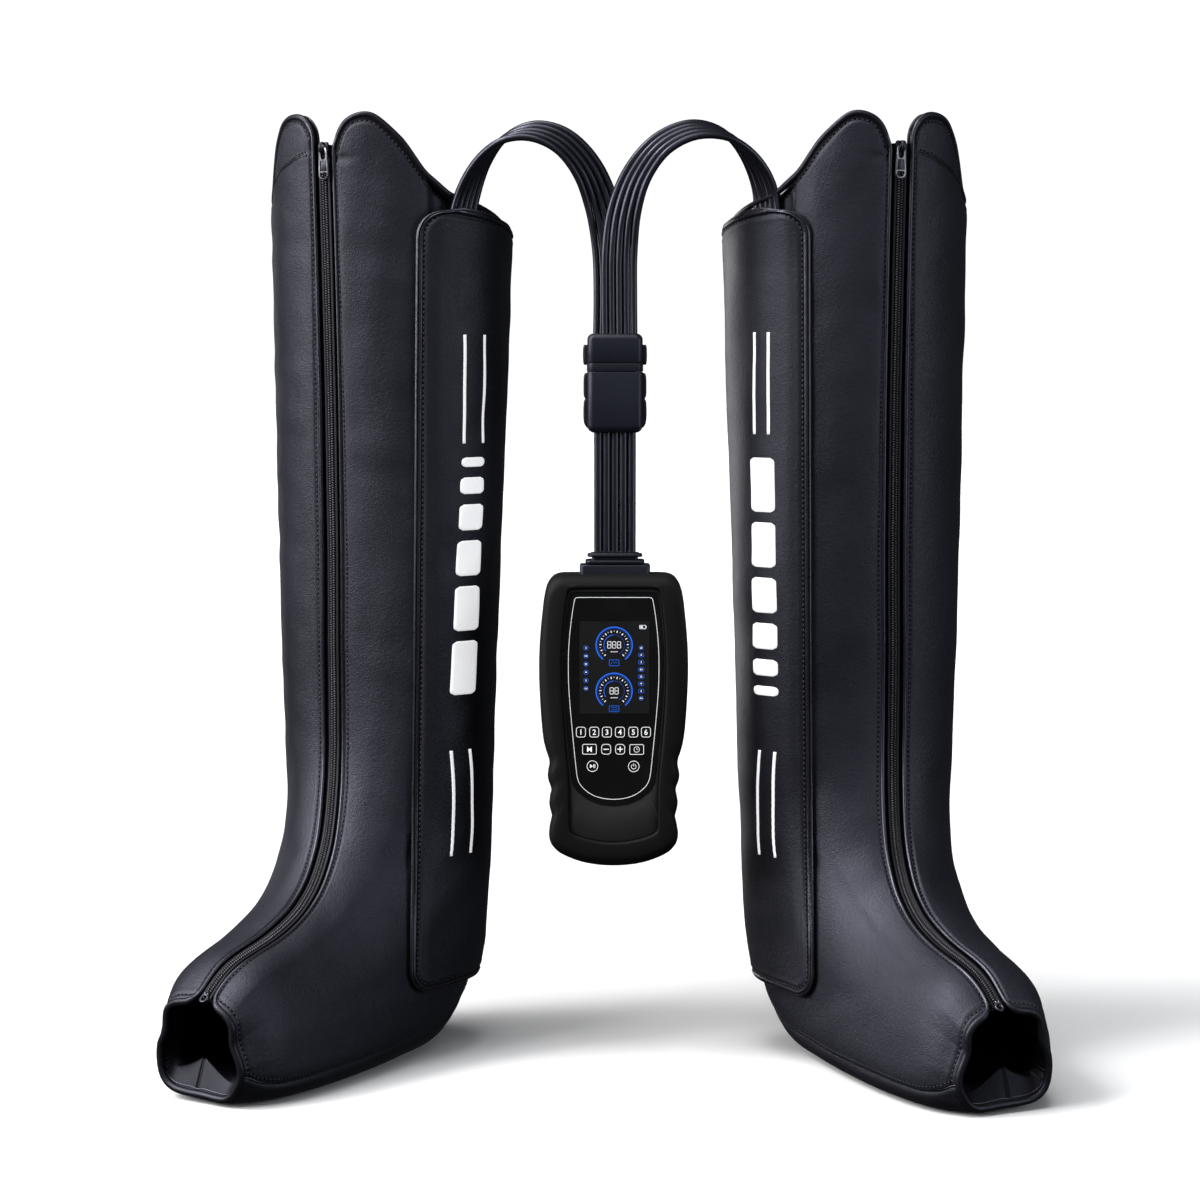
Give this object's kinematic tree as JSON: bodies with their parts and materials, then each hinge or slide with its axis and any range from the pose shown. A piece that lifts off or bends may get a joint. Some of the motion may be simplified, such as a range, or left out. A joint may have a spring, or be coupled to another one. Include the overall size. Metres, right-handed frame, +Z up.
{
  "type": "leg air compression therapy set",
  "caption": "Pair of full-leg air compression boots joined by hose ribbons and a quick coupler to a hand-held air pump with a display and keys.",
  "frame": {"origin": "on the floor, under the middle of the whole set", "axes": "+Z up, +Y to the back, +X to the right as seen from the front"},
  "size_m": [0.733, 0.3783, 0.8093],
  "materials": {
    "boot_leather": "soft satin, fine grain, padded, black",
    "boot_sole": "satin, fine grain, black",
    "zip_tape": "woven tape with a coil zip, black",
    "bladder_film": "coated nylon, dark grey",
    "zip_metal": "gunmetal, semi-gloss",
    "hose": "satin, black",
    "coupler_plastic": "satin moulded, black",
    "seal_rubber": "matte, black",
    "bumper_rubber": "matte soft touch, black",
    "housing_plastic": "satin, dark grey",
    "panel_gloss": "gloss, black",
    "display": "gloss display window, black",
    "key_plastic": "gloss, black with pale outlines",
    "circuit_board": "green board",
    "battery_wrap": "blue shrink wrap",
    "steel": "plain steel"
  },
  "bodies": {
    "boots": {"left_inner_panel": "boot_leather", "left_outer_panel": "boot_leather", "left_sole_strip": "boot_sole", "left_zip_tape": "zip_tape", "left_foot_bladder": "bladder_film", "left_calf_bladder": "bladder_film", "left_thigh_bladder": "bladder_film", "right_inner_panel": "boot_leather", "right_outer_panel": "boot_leather", "right_sole_strip": "boot_sole", "right_zip_tape": "zip_tape", "right_foot_bladder": "bladder_film", "right_calf_bladder": "bladder_film", "right_thigh_bladder": "bladder_film", "left_branch_hoses": "hose", "right_branch_hoses": "hose", "coupler_socket": "coupler_plastic", "coupler_seal": "seal_rubber"},
    "left_flap": {"left_hose_flap": "boot_leather"},
    "left_slider": {"left_zip_slider": "zip_metal"},
    "left_pull": {"left_zip_pull": "zip_metal"},
    "right_flap": {"right_hose_flap": "boot_leather"},
    "right_slider": {"right_zip_slider": "zip_metal"},
    "right_pull": {"right_zip_pull": "zip_metal"},
    "hand_unit": {"coupler_plug": "coupler_plastic", "main_hoses": "hose", "hose_plug": "coupler_plastic", "pump_bumper": "bumper_rubber", "pump_front_housing": "housing_plastic", "pump_rear_housing": "housing_plastic", "pump_screw_1": "steel", "pump_screw_2": "steel", "pump_screw_3": "steel", "pump_screw_4": "steel", "pump_front_panel": "panel_gloss", "pump_display": "display", "key_membrane": "seal_rubber", "control_board": "circuit_board", "battery_pack": "battery_wrap", "air_pump_motor": "steel", "air_pump_head": "coupler_plastic", "valve_block": "coupler_plastic", "pump_socket": "coupler_plastic", "charge_port": "coupler_plastic"},
    "latch_left": {"coupler_latch_left": "coupler_plastic"},
    "latch_right": {"coupler_latch_right": "coupler_plastic"},
    "button_1": {"key_1": "key_plastic"},
    "button_2": {"key_2": "key_plastic"},
    "button_3": {"key_3": "key_plastic"},
    "button_4": {"key_4": "key_plastic"},
    "button_5": {"key_5": "key_plastic"},
    "button_6": {"key_6": "key_plastic"},
    "button_mode": {"key_mode": "key_plastic"},
    "button_minus": {"key_minus": "key_plastic"},
    "button_plus": {"key_plus": "key_plastic"},
    "button_timer": {"key_timer": "key_plastic"},
    "button_play": {"key_play": "key_plastic"},
    "button_power": {"key_power": "key_plastic"},
    "eccentric": {"air_pump_eccentric": "coupler_plastic"}
  },
  "joints": [
    {"name": "left_flap_open", "type": "hinge", "parent": "boots", "child": "left_flap", "pos_m": [-0.17171, 0.16907, 0.39689], "axis": [0.0271, 0.0566, 0.998], "range_deg": [0, 30]},
    {"name": "left_zip_slide", "type": "slide", "parent": "boots", "child": "left_slider", "axis": [0.0076, 0.0442, -0.999], "range_m": [0, 0.38]},
    {"name": "left_pull_swing", "type": "hinge", "parent": "left_slider", "child": "left_pull", "pos_m": [-0.23593, -0.00104, 0.78108], "axis": [-0.8797, 0.4755, 0.0019], "range_deg": [0, 80]},
    {"name": "right_flap_open", "type": "hinge", "parent": "boots", "child": "right_flap", "pos_m": [0.21017, 0.15659, 0.39689], "axis": [0.0195, -0.0597, -0.998], "range_deg": [0, 30]},
    {"name": "right_zip_slide", "type": "slide", "parent": "boots", "child": "right_slider", "axis": [-0.0017, 0.0448, -0.999], "range_m": [0, 0.38]},
    {"name": "right_pull_swing", "type": "hinge", "parent": "right_slider", "child": "right_pull", "pos_m": [0.25141, -0.0205, 0.78108], "axis": [-0.9347, -0.3555, -0.0019], "range_deg": [0, 80]},
    {"name": "coupler_pull_off", "type": "slide", "parent": "boots", "child": "hand_unit", "axis": [0, 0, -1], "range_m": [0, 0.022]},
    {"name": "latch_press_left", "type": "slide", "parent": "boots", "child": "latch_left", "axis": [1, 0, 0], "range_m": [0, 0.001], "stiffness_N_per_m": 2000},
    {"name": "latch_press_right", "type": "slide", "parent": "boots", "child": "latch_right", "axis": [-1, 0, 0], "range_m": [0, 0.001], "stiffness_N_per_m": 2000},
    {"name": "press_1", "type": "slide", "parent": "hand_unit", "child": "button_1", "axis": [0, 1, 0], "range_m": [0, 0.0006], "stiffness_N_per_m": 1500},
    {"name": "press_2", "type": "slide", "parent": "hand_unit", "child": "button_2", "axis": [0, 1, 0], "range_m": [0, 0.0006], "stiffness_N_per_m": 1500},
    {"name": "press_3", "type": "slide", "parent": "hand_unit", "child": "button_3", "axis": [0, 1, 0], "range_m": [0, 0.0006], "stiffness_N_per_m": 1500},
    {"name": "press_4", "type": "slide", "parent": "hand_unit", "child": "button_4", "axis": [0, 1, 0], "range_m": [0, 0.0006], "stiffness_N_per_m": 1500},
    {"name": "press_5", "type": "slide", "parent": "hand_unit", "child": "button_5", "axis": [0, 1, 0], "range_m": [0, 0.0006], "stiffness_N_per_m": 1500},
    {"name": "press_6", "type": "slide", "parent": "hand_unit", "child": "button_6", "axis": [0, 1, 0], "range_m": [0, 0.0006], "stiffness_N_per_m": 1500},
    {"name": "press_mode", "type": "slide", "parent": "hand_unit", "child": "button_mode", "axis": [0, 1, 0], "range_m": [0, 0.0006], "stiffness_N_per_m": 1500},
    {"name": "press_minus", "type": "slide", "parent": "hand_unit", "child": "button_minus", "axis": [0, 1, 0], "range_m": [0, 0.0006], "stiffness_N_per_m": 1500},
    {"name": "press_plus", "type": "slide", "parent": "hand_unit", "child": "button_plus", "axis": [0, 1, 0], "range_m": [0, 0.0006], "stiffness_N_per_m": 1500},
    {"name": "press_timer", "type": "slide", "parent": "hand_unit", "child": "button_timer", "axis": [0, 1, 0], "range_m": [0, 0.0006], "stiffness_N_per_m": 1500},
    {"name": "press_play", "type": "slide", "parent": "hand_unit", "child": "button_play", "axis": [0, 1, 0], "range_m": [0, 0.0006], "stiffness_N_per_m": 1500},
    {"name": "press_power", "type": "slide", "parent": "hand_unit", "child": "button_power", "axis": [0, 1, 0], "range_m": [0, 0.0006], "stiffness_N_per_m": 1500},
    {"name": "eccentric_spin", "type": "hinge", "parent": "hand_unit", "child": "eccentric", "pos_m": [0.01007, -0.00085, 0.303], "axis": [0, 0, 1], "continuous": true}
  ]
}
